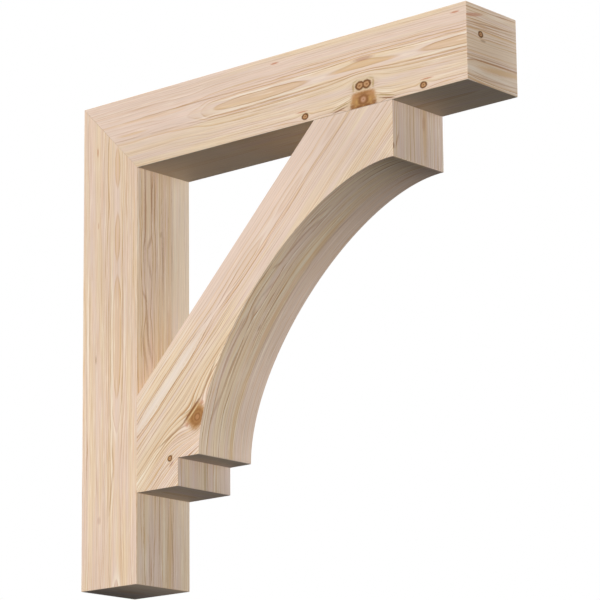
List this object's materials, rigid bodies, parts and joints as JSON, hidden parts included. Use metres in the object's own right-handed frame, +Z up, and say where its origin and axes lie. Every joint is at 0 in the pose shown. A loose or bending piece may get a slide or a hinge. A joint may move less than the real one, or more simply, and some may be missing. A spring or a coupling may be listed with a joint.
{
  "type": "wooden corbel bracket",
  "caption": "Timber corbel bracket: a wall leg and a level arm mitred at the top corner, with an arched knee brace between them.",
  "frame": {"origin": "centre of the leg's flat back face, the face that is fixed to the wall", "axes": "+X out from the wall along the arm, +Z up along the leg, Y across the bracket's width"},
  "size_m": [0.9144, 0.1396, 0.9144],
  "materials": {
    "leg_wood": "planed bare softwood, satin",
    "arm_wood": "planed bare softwood, satin",
    "brace_wood": "planed bare softwood, satin"
  },
  "bodies": {
    "root": {"leg": "leg_wood", "arm": "arm_wood", "brace": "brace_wood"}
  },
  "joints": []
}
